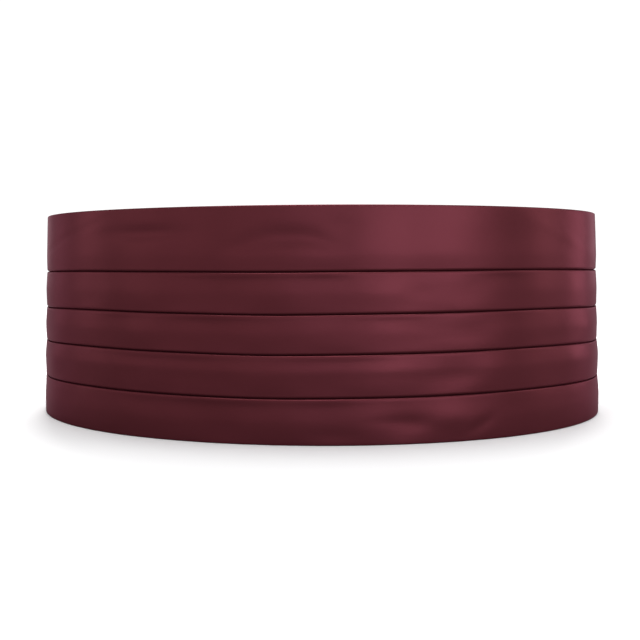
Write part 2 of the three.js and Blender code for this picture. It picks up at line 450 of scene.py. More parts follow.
LINING = ribbed_finish(
    "backing_cloth",
    tones=((0.045, 0.008, 0.012), (0.07, 0.014, 0.02)),
    rib_mm=0.7,
    rib_way=math.radians(52),
    strength=0.5,
    roughness=0.75,
)
BAND = ribbed_finish(
    "strap_cloth",
    tones=((0.085, 0.013, 0.019), (0.125, 0.022, 0.031)),
    rib_mm=0.9,
    rib_way=0.0,
    strength=0.8,
    roughness=0.55,
)
print("Finishes:", LINING.name, BAND.name)

# %% [markdown]
# Sewing thread is twisted and glints a little. The clasp is dark moulded plastic with a fine
# grain and a slightly uneven gloss. Neither is woven, so both read the object's own
# coordinates instead of a UV map.

# %% Thread and moulded plastic
def thread_finish():
    material, tree, shader = new_material(
        "thread", Roughness=0.45, Sheen_Weight=0.2, Sheen_Tint=(1.0, 0.4, 0.5, 1)
    )
    place = add_node(tree, "ShaderNodeTexCoord").outputs["Object"]
    twist = scaled_noise(tree, place, (2500, 2500, 2500), 1.0)
    tree.links.new(
        tone_between(tree, twist, (0.15, 0.028, 0.042), (0.25, 0.055, 0.078)),
        shader.inputs["Base Color"],
    )
    return material


def clasp_finish():
    material, tree, shader = new_material("clasp_plastic", Roughness=0.35)
    place = add_node(tree, "ShaderNodeTexCoord").outputs["Object"]
    grain = scaled_noise(tree, place, (900, 900, 900), 3.0)
    tree.links.new(
        tone_between(tree, grain, (0.012, 0.007, 0.008), (0.02, 0.012, 0.014)),
        shader.inputs["Base Color"],
    )
    tree.links.new(ramp_between(tree, grain, 0.3, 0.42), shader.inputs["Roughness"])
    bump = add_node(
        tree, "ShaderNodeBump", {"Height": grain, "Strength": 0.15, "Distance": 0.0001}
    )
    tree.links.new(bump.outputs[0], shader.inputs["Normal"])
    return material


THREAD = thread_finish()
PLASTIC = clasp_finish()
print("Finishes:", THREAD.name, PLASTIC.name)

# %% [markdown]
# The front keeps its full height until it has turned the sides of the waist, and then all
# its pleats run together into a narrow end on each side. One smooth share says how much of
# its full height the front has at any place, and the sweep draws its heights together by it.

# %% The route of the front
FULL_HALF = 250 * MM  # from the middle of the front to where it starts to narrow
TAPER_LENGTH = 84 * MM
SLEEVE_LAP = 16 * MM  # the narrow end runs on this far between its tabs
END_HEIGHT = 34 * MM
FRONT_END = FULL_HALF + TAPER_LENGTH + SLEEVE_LAP
END_TRIM = 0.2 * MM  # the cloth stops this far short of the solid's end
STATION_STEP = 2.2 * MM


def smooth(run):
    """A share from 0 to 1 that starts and ends without a corner."""
    return run * run * (3 - 2 * run)


def height_share(along):
    run = np.clip((np.abs(along) - FULL_HALF) / TAPER_LENGTH, 0, 1)
    return 1 - (1 - END_HEIGHT / HEIGHT) * smooth(run)


def front_route(name):
    half = FRONT_END - END_TRIM
    along = np.linspace(-half, half, round(2 * half / STATION_STEP) + 1)
    point, way = oval(along)
    return polyline(
        name, len(along), False,
        place=point, side=way, lean=way, share=height_share(along), along=along,
    )


print(f"The front is {2 * FRONT_END * 1000:.0f} mm long.")

# %% [markdown]
# Each pleat is a ply of satin folded along its upper edge. Below, it turns in just above
# the fold of the next pleat, hugs that fold with a hair's gap and runs on behind it.
# That narrow crease is the thin dark line in the picture. The lowest pleat ends in a
# turned hem. All its measures are named here.

# %% The measures of the pleats
PLY = 0.7 * MM
FOLD_GAP = 0.1 * MM  # between the two plies of a fold
CREASE = 0.5 * MM  # between a fold and the ply that turns in over it
BELLY = 0.35 * MM  # a face swells this far beyond its folds
TUCK = 11 * MM  # a ply runs on this far down behind the next fold
LEG = 9 * MM  # the turned edge behind a fold
TURN_UP = 1.9 * MM  # a face starts to turn in this far above the next fold
WRAP_END_DEG = 112  # a ply hugs the next fold from 180, straight behind it, up to here
WRAP_REACH = 0.55 * MM  # how far the turn runs on straight, at the wrap and at the face
FACE_REACH = 0.9 * MM
FACE_STEP = 1.6 * MM
SOFT_ENDS = 0.8  # under 1, a face is free to move sooner away from its folds
LEG_POINTS = 4
FOLD_POINTS = 13
WRAP_POINTS = 8
TURN_POINTS = 12
FOLD_RADIUS = PLY + FOLD_GAP / 2
FACE_OUT = -BELLY
FOLD_OUT = FACE_OUT - FOLD_RADIUS
WRAP_RADIUS = FOLD_RADIUS + CREASE
# The heights of the folds from the top edge down, as shares of the front's height.
FOLD_SHARES = (1.0, 0.7266, 0.5514, 0.3831, 0.2006)
FOLDS = [share * HEIGHT for share in FOLD_SHARES]
print("Folds at", [f"{fold * 1000:.1f} mm" for fold in FOLDS])

# %% [markdown]
# A section is the outer side of the ply, walked from its hidden end to the end of the turned
# edge, and the same line again one ply further in. Arcs go round the folds, and one cubic
# curve turns a face in. Each point is a row of how far out it lies, the fold or hem that its
# height belongs to, its own height from there, and how freely it moves with the face.

# %% The sections of the pleats
def arc(centre_out, centre_up, radius, start, end, count):
    angles = np.radians(np.linspace(start, end, count))
    return centre_out + radius * np.cos(angles), centre_up + radius * np.sin(angles)


def bezier(points, count):
    """Points on a cubic curve, without its first one."""
    t = np.linspace(0, 1, count)[1:, None]
    a, b, c, d = (np.array(point) for point in points)
    line = (1 - t) ** 3 * a + 3 * (1 - t) ** 2 * t * b + 3 * (1 - t) * t**2 * c + t**3 * d
    return line[:, 0], line[:, 1]


def pleat_section(fold, next_fold):
    """Rows of (out, anchor, local, soft) down the outer side of one pleat's ply."""
    rows = []
    if next_fold is None:
        for up in np.linspace(LEG, 0, LEG_POINTS)[:-1]:
            rows.append((FOLD_OUT - FOLD_RADIUS, up, FOLD_RADIUS, 0))
        for out, local in zip(*arc(FOLD_OUT, FOLD_RADIUS, FOLD_RADIUS, 180, 360, FOLD_POINTS)):
            rows.append((out, 0, local, 0))
        foot, foot_local = 0, FOLD_RADIUS
    else:
        for back in np.linspace(TUCK, 0, LEG_POINTS)[:-1]:
            rows.append((FOLD_OUT - WRAP_RADIUS, next_fold - back, -FOLD_RADIUS, 0))
        wrap = arc(FOLD_OUT, -FOLD_RADIUS, WRAP_RADIUS, 180, WRAP_END_DEG, WRAP_POINTS)
        for out, local in zip(*wrap):
            rows.append((out, next_fold, local, 0))
        last = (wrap[0][-1], wrap[1][-1])
        leave = math.radians(WRAP_END_DEG)
        past = (last[0] + WRAP_REACH * math.sin(leave), last[1] - WRAP_REACH * math.cos(leave))
        turn = bezier([last, past, (FACE_OUT, FACE_REACH), (FACE_OUT, TURN_UP)], TURN_POINTS)
        for out, local in zip(*turn):
            rows.append((out, next_fold, local, 0))
        foot, foot_local = next_fold, TURN_UP
    face_steps = max(8, round((fold - foot) / FACE_STEP))
    for v in np.linspace(0, 1, face_steps + 1)[1:-1]:
        rows.append((
            FACE_OUT,
            foot + v * (fold - foot),
            foot_local + v * (-FOLD_RADIUS - foot_local),
            math.sin(math.pi * v) ** SOFT_ENDS,
        ))
    for out, local in zip(*arc(FOLD_OUT, -FOLD_RADIUS, FOLD_RADIUS, 0, 180, FOLD_POINTS)):
        rows.append((out, fold, local, 0))
    for down in np.linspace(0, LEG, LEG_POINTS)[1:]:
        # The leg moves with the face in front of it.
        follows = math.sin(math.pi * down / (fold - foot)) ** SOFT_ENDS
        rows.append((FOLD_OUT - FOLD_RADIUS, fold - down, -FOLD_RADIUS, follows))
    return np.array(rows)


def closed_section(name, rows, ply):
    """The ring of a ply: its outer side, and the same line moved in by its thickness."""
    out, up = rows[:, 0], rows[:, 1] + rows[:, 2]
    ways = np.gradient(np.stack([out, up], -1), axis=0)
    ways /= np.linalg.norm(ways, axis=1, keepdims=True)
    inner = rows.copy()
    inner[:, 0] -= ways[:, 1] * ply
    inner[:, 2] += ways[:, 0] * ply
    ring = np.concatenate([rows, inner[::-1]])
    arc_length = np.concatenate([[0], np.cumsum(np.hypot(np.diff(out), np.diff(up)))])
    both = np.concatenate([arc_length, arc_length[::-1]])
    line = polyline(
        name, len(ring), True,
        out=ring[:, 0], anchor=ring[:, 1], local=ring[:, 2], soft=ring[:, 3], arc=both,
    )
    return line, arc_length[-1]


print(f"The outer side of the top pleat has {len(pleat_section(*FOLDS[:2]))} points.")

# %% [markdown]
# A pressed pleat is never quite flat. A few soft dents are placed where the picture
# shows them, and slow waves of a tenth of a millimetre keep the gloss from running dead
# straight. Both move only the middle of a face. The folds themselves rise and fall by up to
# a millimetre, and here and there one stands a little off its crease. Short tables say all
# this, because a table can be read and changed, which a sculpted face can't.

# %% Where the faces and folds leave their plain form
# One row for each dent, or bulge where the depth is negative: pleat, place along in mm,
# height in its band from 0 to 1, reach along in mm, reach up as a share of the band, depth in
# mm, and slant in mm for each band height.
DENTS = (
    (1, -91, 0.60, 24, 0.13, 0.95, 0),
    (1, -7, 0.51, 17, 0.18, 0.95, 0),
    (1, -31, 0.37, 10, 0.16, 0.50, 30),
    (1, 12, 0.40, 9, 0.16, 0.50, -30),
    (1, 21, 0.70, 7, 0.12, 0.35, 0),
    (1, 44, 0.14, 26, 0.46, -0.30, 0),
    (1, -3, 0.10, 18, 0.34, -0.20, 0),
    (1, -150, 0.62, 9, 0.28, 0.35, 126),
    (1, 161, 0.55, 14, 0.35, -0.40, -84),
    (1, 118, 0.60, 16, 0.35, 0.25, 0),
    (2, 62, 0.50, 10, 0.20, 0.20, 0),
    (2, 22, 0.80, 5, 0.20, 0.12, 0),
    (2, 42, 0.45, 16, 0.35, -0.20, 0),
    (2, 84, 0.50, 18, 0.42, 0.55, 0),
    (3, 17, 0.45, 20, 0.18, 0.12, 0),
    (3, 84, 0.50, 20, 0.42, 0.65, 0),
    (4, -81, 0.45, 40, 0.20, 0.12, 0),
    (4, 39, 0.45, 30, 0.20, 0.12, 0),
    (4, 84, 0.50, 20, 0.42, 0.55, 0),
    (5, 58, 0.42, 11, 0.22, 0.50, 0),
    (5, 45, 0.50, 16, 0.12, 0.20, 0),
    (5, 96, 0.32, 6, 0.25, 0.45, 26),
    (5, 79, 0.58, 12, 0.30, -0.30, 0),
    (5, 14, 0.18, 14, 0.12, 0.20, 0),
)
CREASE_UP = (0.24, 0.5, 0.5, 0.6, 0.5)  # where each face swells most, as a share of its band
SWELL = (1.0, 1.0, 1.1, 1.8, 1.2)  # how much each face swells, against BELLY
# The folds aren't quite level: rows of place along and reach along in mm, and rise in mm.
SWAY = ((-19, 38, -0.5), (125, 42, 0.5), (-130, 34, 0.3), (-196, 28, -0.9), (206, 28, -1.0))
SWAY_SHARE = (0.0, 0.6, 1.0, 1.1, 0.8, 0.0)  # how much of it each fold has, and the hem
FOLD_DROP = (0.0, -0.6, -0.75, -0.65, -0.6, 0.0)  # each fold's own shift in mm
# Where a fold stands off its crease, the dark line is bolder: rows of fold, place along and
# reach along in mm, and the gap it gains in mm.
GAPES = (
    (1, 0, 130, 0.10), (1, -25, 28, 0.50), (1, 12, 12, 0.40), (1, 112, 16, 0.35),
    (2, -20, 120, 0.12), (2, -105, 14, 0.35), (2, -48, 22, 0.45), (2, 45, 14, 0.25),
    (2, 160, 26, -0.15), (2, -150, 30, -0.12),
    (3, -20, 120, 0.12), (3, -78, 40, 0.45), (3, 20, 26, 0.40), (3, 165, 34, -0.20),
    (3, -150, 34, -0.18),
    (4, -20, 120, 0.12), (4, -92, 22, 0.30), (4, -42, 30, 0.50), (4, 14, 16, 0.40),
    (4, 165, 36, -0.20), (4, -155, 34, -0.18),
)
GAPE_BAND = 0.2  # only this upper share of a face follows a fold that stands off
print(f"{len(DENTS)} dents and bulges, {len(SWAY)} bends of the folds, {len(GAPES)} gaps")

# %% [markdown]
# Each table becomes a function of the place along the loop and of the height in the band,
# from 0 at the fold below to 1 at the pleat's own fold. It then moves every point alike,
# however fine the mesh is.

# %% How far each point of a face moves
RIDGE_SOFT = 0.15  # 0 would give the swell a sharp ridge
WAVE_COUNT = 14
WAVE_DEPTH = 0.14 * MM
WAVE_LONG = (30, 110)  # shortest and longest wave in mm
WAVE_LEAN = 2.5  # a wave shifts by at most this angle over a band's height
wave_rng = np.random.default_rng(5)


def fold_rise(fold_index, along):
    """How far a fold lies above its level place, at each place along it."""
    rise = sum(up * np.exp(-(((along / MM - at) / reach) ** 2)) for at, reach, up in SWAY)
    return (rise * SWAY_SHARE[fold_index] + FOLD_DROP[fold_index]) * MM * height_share(along)


def pressed_swell(pleat, band):
    """A face swells to a soft ridge, flatter on both sides of it than a round belly."""
    at = CREASE_UP[pleat - 1]
    away = np.where(band > at, (band - at) / (1 - at), (at - band) / at)
    top = math.hypot(1, RIDGE_SOFT)
    ridge = (top - np.hypot(away, RIDGE_SOFT)) / (top - RIDGE_SOFT)
    return SWELL[pleat - 1] * BELLY * ridge


def dent_depth(pleat, along, band):
    depth = np.zeros_like(along)
    for row in (r for r in DENTS if r[0] == pleat):
        _, at, up, reach, tall, deep, slant = row
        away = (along / MM - at - slant * (band - up)) / reach
        above = (band - up) / tall
        depth += deep * MM * np.exp(-(away**2) - above**2)
    return depth


def fold_gape(fold_index, along):
    """How far a fold stands further out than its crease needs, at each place along it."""
    gape = np.zeros_like(along)
    for fold, at, reach, more in GAPES:
        if fold == fold_index:
            gape += more * MM * np.exp(-(((along / MM - at) / reach) ** 2))
    return gape


def slow_waves(along, band):
    waves = np.zeros_like(along)
    least = (WAVE_LONG[0], 0, -WAVE_LEAN)
    most = (WAVE_LONG[1], 2 * math.pi, WAVE_LEAN)
    for _ in range(WAVE_COUNT):
        long, phase, lean = wave_rng.uniform(least, most)
        waves += np.sin(2 * math.pi * along / (long * MM) + phase + lean * band)
    return waves * WAVE_DEPTH / math.sqrt(WAVE_COUNT)


test_band = np.linspace(0, 1, 101)
print(f"The top face swells by {pressed_swell(1, test_band).max() * 1000:.2f} mm.")

# %% [markdown]
# Now the five pleats. On the real sash they are one cloth, laid in folds and pressed. A cloth
# simulation could lay them too, but folds this tight would tangle in it. So each pleat is
# swept from its section and then moved by the functions above. A fold and the foot of the
# pleat above it rise and fall together, so that they still meet.

# %% The five pleats
def pleat_piece(number_of, fold, next_fold):
    rows = pleat_section(fold, next_fold)
    section, width = closed_section("section", rows, PLY)
    settings = {"Section": section, "Height": HEIGHT, "Flare": FLARE, "Material": SATIN}
    mesh = grown_mesh(SWEEP, front_route("route"), settings)
    bpy.data.objects.remove(section)
    along, soft, arc_place = (values_of(mesh, key) for key in ("along", "soft", "arc"))
    foot = next_fold or 0
    band = np.clip((values_of(mesh, "anchor") - foot) / (fold - foot), 0, 1)
    swell = soft * (slow_waves(along, band) - dent_depth(number_of, along, band))
    swell += (soft > 0) * pressed_swell(number_of, band) * height_share(along)
    near_fold = np.clip((band - (1 - GAPE_BAND)) / GAPE_BAND, 0, 1)
    swell += near_fold**2 * fold_gape(number_of - 1, along)
    _, way = oval(along)
    points = points_of(mesh) + way * swell[:, None]
    low, high = fold_rise(number_of, along), fold_rise(number_of - 1, along)
    points[:, 2] += low + (high - low) * band
    mesh.vertices.foreach_set("co", points.astype(np.float32).ravel())
    uv = np.stack([along, arc_place], -1)
    piece = finished_piece(f"satin_pleat_{number_of}", mesh, SATIN, uv)
    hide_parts(f"pleat_{number_of}")
    return piece, width


for i, fold in enumerate(FOLDS):
    next_fold = FOLDS[i + 1] if i + 1 < len(FOLDS) else None
    piece, width = pleat_piece(i + 1, fold, next_fold)
    print(f"{piece.name}: {len(piece.data.polygons)} faces, cut {width * 1000:.0f} mm wide")

# %% [markdown]
# The backing is the plain panel inside, which the pleats are stitched to. It stands out to
# the turned edges at the top and the hem and lies further in between them. The same sweep
# makes it from a few rows, so that it narrows exactly as the pleats do.

# %% The backing
BACKING_PLY = 1.0 * MM
EDGE_OUT = FOLD_OUT - FOLD_RADIUS - CREASE
EDGE_EASE = EDGE_OUT - 0.1 * MM
SLOPE_OUT = -3.3 * MM  # about halfway from the edges in to the panel
PANEL_OUT = -4.4 * MM
PANEL_EASE = PANEL_OUT + 0.2 * MM
BACKING_ROWS = (  # out, height in mm above the hem or, if negative, below the top edge
    (EDGE_OUT, 0.0), (EDGE_OUT, 2.0), (EDGE_EASE, 4.0), (SLOPE_OUT, 7.0), (PANEL_EASE, 10.0),
    (PANEL_OUT, 13.0), (PANEL_OUT, 35.0), (PANEL_OUT, 60.0), (PANEL_OUT, -40.0),
    (PANEL_OUT, -13.0), (PANEL_EASE, -10.0), (SLOPE_OUT, -7.5), (EDGE_EASE, -5.0),
    (EDGE_OUT, -3.5), (EDGE_OUT, -1.5),
)


def backing_piece():
    rows = []
    for out, up in BACKING_ROWS:
        at = up * MM if up >= 0 else HEIGHT + up * MM
        rows.append((out, at, 0, 0))
    section, width = closed_section("section", np.array(rows), BACKING_PLY)
    settings = {"Section": section, "Height": HEIGHT, "Flare": FLARE, "Material": LINING}
    mesh = grown_mesh(SWEEP, front_route("route"), settings)
    bpy.data.objects.remove(section)
    uv = np.stack([values_of(mesh, "along"), values_of(mesh, "arc")], -1)
    piece = finished_piece("lining_panel", mesh, LINING, uv)
    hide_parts("backing")
    return piece, width


backing, backing_width = backing_piece()
print(f"{backing.name}: {len(backing.data.polygons)} faces")

# %% [markdown]
# Behind the waist a plain woven band closes the loop. Each half starts between two cloth
# tabs that hold the narrow end of the front, runs flat, passes through a slot of the clasp
# and comes back inside, where its end is sewn down. Seen from above, a band is one line
# with rounded bends, so it is swept by the same tree: the line is the route, and the
# band's own cross-section, a flat stadium, is the section.

# %% Bent lines seen from above
SLEEVE_MIDDLE = -2.7 * MM
CLOSED_GAP = 1.05 * MM  # from the sleeve's middle to a tab that lies flat on the band
LINE_STEP = 1.2 * MM
BEND_STEP = 0.2  # radians of a bend for each of its points
SAME_PLACE = 1e-7  # points closer than this are one


def rounded_line(corners):
    """A line through (along, out, bend radius) rows in mm, with round bends, in metres."""
    rows = np.array(corners, float) * MM
    line = [rows[0, :2]]
    for before, here, after in zip(rows, rows[1:], rows[2:]):
        way_in = (here - before)[:2] / np.linalg.norm((here - before)[:2])
        way_out = (after - here)[:2] / np.linalg.norm((after - here)[:2])
        bend = math.acos(np.clip(way_in @ way_out, -1, 1))
        cut = here[2] * math.tan(bend / 2)
        start, end = here[:2] - way_in * cut, here[:2] + way_out * cut
        for t in np.linspace(0, 1, max(3, round(bend / BEND_STEP)))[:, None]:
            line.append(((1 - t) ** 2 * start + 2 * t * (1 - t) * here[:2] + t**2 * end))
    line.append(rows[-1, :2])
    points = [line[0]]
    for point in line[1:]:
        gap = np.linalg.norm(point - points[-1])
        count = max(1, math.ceil(gap / LINE_STEP))
        if gap > SAME_PLACE:
            points += [points[-1] + (point - points[-1]) * (i + 1) / count for i in range(count)]
    return np.array(points)


print(f"A test bend has {len(rounded_line(((0, 0, 0), (10, 0, 2), (10, 10, 0))))} points.")

# %% [markdown]
# The band's section and route go to the sweep as the pleats' did. The tabs are swept too,
# and then their upper and lower edges are turned in towards each other, as on a sewn sleeve.

# %% A piece that follows a bent line
EDGE_TURNS = np.radians((30, 60, 90, 120, 150))  # points round each rounded edge of a band
TURNED_SHARE = 0.14  # of a tab's half height, at its upper and lower edge
TURNED_REACH = 1.25  # over 1, the edges of two tabs close tightly
BAND_STEPS = 12
TAB_STEPS = 22


def band_section(thickness, steps):
    """A flat stadium: out is across the band, anchor runs over its height."""
    half = thickness / 2
    heights = (1 - np.cos(np.linspace(0, math.pi, steps))) / 2  # closer together at both edges
    rows = [(half, v * HEIGHT, half * (1 - 2 * v)) for v in heights]
    for a in EDGE_TURNS:
        rows.append((half * math.cos(a), HEIGHT, half * (math.sin(a) - 1)))
    rows += [(-half, v * HEIGHT, half * (1 - 2 * v)) for v in heights[::-1]]
    for a in EDGE_TURNS + math.pi:
        rows.append((half * math.cos(a), 0, half * (math.sin(a) + 1)))
    rows = np.array(rows)
    return polyline(
        "section", len(rows), True, out=rows[:, 0], anchor=rows[:, 1], local=rows[:, 2]
    )


def edge_turn(mesh, run, line_out):
    """Turns the upper and lower edges of a tab in, so that two tabs close into a sleeve."""
    ways = np.zeros(len(mesh.vertices) * 3, np.float32)
    mesh.attributes["lean"].data.foreach_get("vector", ways)
    outs = np.interp(values_of(mesh, "arc"), run, line_out)
    from_middle = outs - SLEEVE_MIDDLE
    to_close = np.clip(np.abs(from_middle) - CLOSED_GAP, 0, None)
    reach = TURNED_REACH * to_close * -np.sign(from_middle)
    from_mid_height = np.abs(values_of(mesh, "anchor") / HEIGHT - 0.5) * 2
    edge = smooth(np.clip((from_mid_height - (1 - TURNED_SHARE)) / TURNED_SHARE, 0, 1))
    turned = points_of(mesh) + ways.reshape(-1, 3) * (reach * edge)[:, None]
    mesh.vertices.foreach_set("co", turned.astype(np.float32).ravel())


def band_piece(name, corners, half_height, thickness, side, sleeve=False):
    """A band or tab that follows a bent line, on the side of +X (1) or of -X (-1)."""
    line = rounded_line(corners)
    along = line[:, 0]
    place, lean = oval(side * along)
    place = place + lean * line[:, 1:2]
    ways = np.gradient(place, axis=0)
    ways /= np.linalg.norm(ways, axis=1, keepdims=True)
    across = np.stack([ways[:, 1], -ways[:, 0], np.zeros(len(ways))], -1)
    run = np.concatenate([[0], np.cumsum(np.linalg.norm(np.diff(place, axis=0), axis=1))])
    half = half_height(along)
    section = band_section(thickness, TAB_STEPS if sleeve else BAND_STEPS)
    route = polyline(
        "route", len(along), False,
        place=place, side=across, lean=lean, share=2 * half / HEIGHT, arc=run,
    )
    settings = {"Section": section, "Height": HEIGHT, "Flare": FLARE, "Material": BAND}
    mesh = grown_mesh(SWEEP, route, settings)
    bpy.data.objects.remove(section)
    if sleeve:
        edge_turn(mesh, run, line[:, 1])
    uv = np.stack([values_of(mesh, "arc"), points_of(mesh)[:, 2]], -1)
    piece = finished_piece(name, mesh, BAND, uv)
    area = float(np.sum((half[1:] + half[:-1]) * np.diff(run)))
    return piece, (2 * float(half.max()), float(run[-1])), area


print(f"A tab turns in over {TURNED_SHARE:.0%} of its half height at each edge.")

# %% [markdown]
# The bands and tabs themselves. Each tab is one layer of cloth outside the narrow end and
# one inside it, and both close on the band and hold it between them.

# %% The bands and their tabs
SIDES = ((1, "right"), (-1, "left"))
BACK_MIDDLE = LOOP_LENGTH / 2 / MM  # in mm, as the rows below
SLOT_MIDDLE = 15.0  # from the clasp's middle to the middle of a slot, in mm
SLOT_HALF_WIDE = 3.0
BAR = BACK_MIDDLE - SLOT_MIDDLE - SLOT_HALF_WIDE  # slot side of the clasp's outer bar
STRAP_HALF = 15 * MM
BAND_THICK = 1.2 * MM
TAB_THICK = 0.8 * MM
SLEEVE_OUT = SLEEVE_MIDDLE / MM
BAND_LINE = (  # along, out, bend radius
    (352.5, SLEEVE_OUT, 0), (372, SLEEVE_OUT, 60), (392, -3.1, 60), (BAR + 1.1, -3.1, 1.0),
    (BAR + 1.1, -7.3, 1.0), (BAR - 6.2, -7.3, 2.5), (BAR - 11.5, -4.4, 2.5),
    (BAR - 26, -4.4, 0),
)
OPEN = 3.5  # from the sleeve's middle to a tab that lies on the front's narrow end
CLOSED = CLOSED_GAP / MM
TAB_LINE = (  # along, distance from the sleeve's middle, bend radius
    (334, OPEN, 0), (348.5, OPEN, 6), (355, CLOSED, 6), (362, CLOSED, 0),
)
TAB_HALF = 19.0  # a tab's half height where it is widest, in mm
TAB_DRAWN = 3.6  # how much of it is lost where the tab closes on the band
TAB_CLOSES = (350, 362)  # where it narrows, in mm along


def band_half(along):
    return np.full_like(along, STRAP_HALF)


def tab_half(along):
    start, end = TAB_CLOSES
    run = np.clip((along / MM - start) / (end - start), 0, 1)
    return (TAB_HALF - TAB_DRAWN * smooth(run)) * MM


for side, where in SIDES:
    band, band_flat, band_area = band_piece(
        f"woven_band_{where}", BAND_LINE, band_half, BAND_THICK, side
    )
    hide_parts(f"strap_{where}")
    print(f"{band.name}: {band_flat[1] * 1000:.0f} mm of band")
    for layer, way in (("outer", 1), ("inner", -1)):
        rows = [(along, SLEEVE_OUT + way * away, bend) for along, away, bend in TAB_LINE]
        tab, tab_flat, tab_area = band_piece(
            f"end_tab_{layer}_{where}", rows, tab_half, TAB_THICK, side, sleeve=True
        )

# %% [markdown]
# Lock stitches hold the tabs, the band's returned ends and the edges of the backing. A
# stitch is a short bead of thread. The second tree walks along any set of lines, places a
# bead at every pitch and turns it to lie along the line.

# %% A tree that sews along lines
def make_stitch_tree():
    tree = named_tree(
        "run_stitches",
        [("Pitch", "Float"), ("Length", "Float"), ("Thread", "Float"), ("Material", "Material")],
    )
    given = add_node(tree, "NodeGroupInput").outputs
    route = add_node(tree, "GeometryNodeMeshToCurve", {"Mesh": given["Geometry"]})
    even = add_node(
        tree,
        "GeometryNodeResampleCurve",
        {"Curve": route.outputs[0], "Length": given["Pitch"]},
        mode="LENGTH",
    )
    bead = add_node(
        tree, "GeometryNodeMeshUVSphere", {"Segments": 6, "Rings": 5, "Radius": 0.5}
    )
    size = add_node(
        tree,
        "ShaderNodeCombineXYZ",
        {"X": given["Thread"], "Y": given["Thread"], "Z": given["Length"]},
    )
    stitch = add_node(
        tree, "GeometryNodeTransform", {"Geometry": bead.outputs["Mesh"], "Scale": size.outputs[0]}
    )
    tangent = add_node(tree, "GeometryNodeInputTangent")
    turned = add_node(
        tree, "FunctionNodeAlignRotationToVector", {"Vector": tangent.outputs[0]}, axis="Z"
    )
    sewn = add_node(
        tree,
        "GeometryNodeInstanceOnPoints",
        {"Points": even.outputs[0], "Instance": stitch.outputs[0], "Rotation": turned.outputs[0]},
    )
    finish_tree(tree, sewn.outputs[0], given["Material"])
    return tree


STITCHES = make_stitch_tree()
THREAD_THICK = 0.46 * MM


def sewn_piece(name, lines, pitch, length):
    """Stitches along several lines of points in metres."""
    mesh = bpy.data.meshes.new("route")
    points, pairs = [], []
    for line in lines:
        first = len(points)
        points += [tuple(p) for p in line]
        pairs += [(first + i, first + i + 1) for i in range(len(line) - 1)]
    mesh.from_pydata(points, pairs, [])
    route = bpy.data.objects.new("route", mesh)
    bpy.context.scene.collection.objects.link(route)
    settings = {"Pitch": pitch, "Length": length, "Thread": THREAD_THICK, "Material": THREAD}
    piece = finished_piece(name, grown_mesh(STITCHES, route, settings), THREAD)
    return piece


print("Stitch tree:", len(STITCHES.nodes), "nodes")

# %% [markdown]
# A sleeve is sewn in a narrow box on its outer and its inner side, and a band's returned end
# in a box with a cross, the strongest simple seam for a strap. Each seam is a row of a
# table, in millimetres, and the thread lies half sunk in the cloth under it.

# %% Sew the tabs, the returned ends and the backing's edges
STITCH_BOXES = (  # from and to along, half height, out, and whether a cross is sewn in it
    (336.4, 347.2, 16.6, 1.24, False),
    (336.4, 347.2, 16.6, -6.64, False),
    (357.0, 360.6, 13.2, -1.2, False),
    (357.0, 360.6, 13.2, -4.2, False),
    (BAR - 24.5, BAR - 13.5, 12.4, -2.45, True),
    (BAR - 24.5, BAR - 13.5, 12.4, -5.05, True),
)
SEAM_RUN = np.linspace(0.03, 0.97, 12)  # a seam stops just short of its corners
STRAP_PITCH = 2.5 * MM
STRAP_STITCH = 2.0 * MM
BACKING_PITCH = 3.0 * MM
BACKING_STITCH = 2.4 * MM
BACKING_SEAM_DROP = 4.3 * MM  # the upper seam's place below the top edge
BACKING_SEAM_LIFT = 2.6 * MM  # the lower seam's place above the hem
BACKING_SEAM_HALF = 332  # half length in mm
THREAD_PROUD = 0.04 * MM  # from the cloth to the middle of the thread


def stitch_box(side, left, right, half_up, out, cross):
    """The lines of a sewn box, and of a cross in it, in mm on one side of the loop."""
    low_left, high_left = (left, -half_up), (left, half_up)
    low_right, high_right = (right, -half_up), (right, half_up)
    paths = [[low_left, high_left, high_right, low_right, low_left]]
    if cross:
        paths += [[low_left, high_right], [high_left, low_right]]
    lines = []
    for path in paths:
        for (a0, u0), (a1, u1) in zip(path, path[1:]):
            along, up = a0 + (a1 - a0) * SEAM_RUN, u0 + (u1 - u0) * SEAM_RUN
            lines.append(wall(side * along * MM, out * MM, MIDDLE_UP + up * MM))
    return lines


for side, where in SIDES:
    lines = [line for row in STITCH_BOXES for line in stitch_box(side, *row)]
    stitches = sewn_piece(
        f"strap_stitches_{where}", lines, STRAP_PITCH, STRAP_STITCH
    )
    print(f"{stitches.name}: {len(stitches.data.polygons)} faces")

edge_along = np.linspace(-BACKING_SEAM_HALF, BACKING_SEAM_HALF, BACKING_SEAM_HALF + 1) * MM
edge_lines = []
for at in (HEIGHT - BACKING_SEAM_DROP, BACKING_SEAM_LIFT):
    up = MIDDLE_UP + (at - MIDDLE_UP) * height_share(edge_along)
    edge_lines.append(wall(edge_along, EDGE_OUT - BACKING_PLY - THREAD_PROUD, up))
edge_stitches = sewn_piece(
    "backing_stitches", edge_lines, BACKING_PITCH, BACKING_STITCH
)
print(f"{edge_stitches.name}: {len(edge_stitches.data.polygons)} faces")

# %% [markdown]
# The clasp is a moulded plate with two upright slots. Slots cut by booleans in a bent plate
# would leave ragged edges. So its outline is drawn flat as a curve with two holes, which
# Blender fills, thickens and rounds at every edge, and the flat plate is then cut into
# narrow strips and bent to the loop.

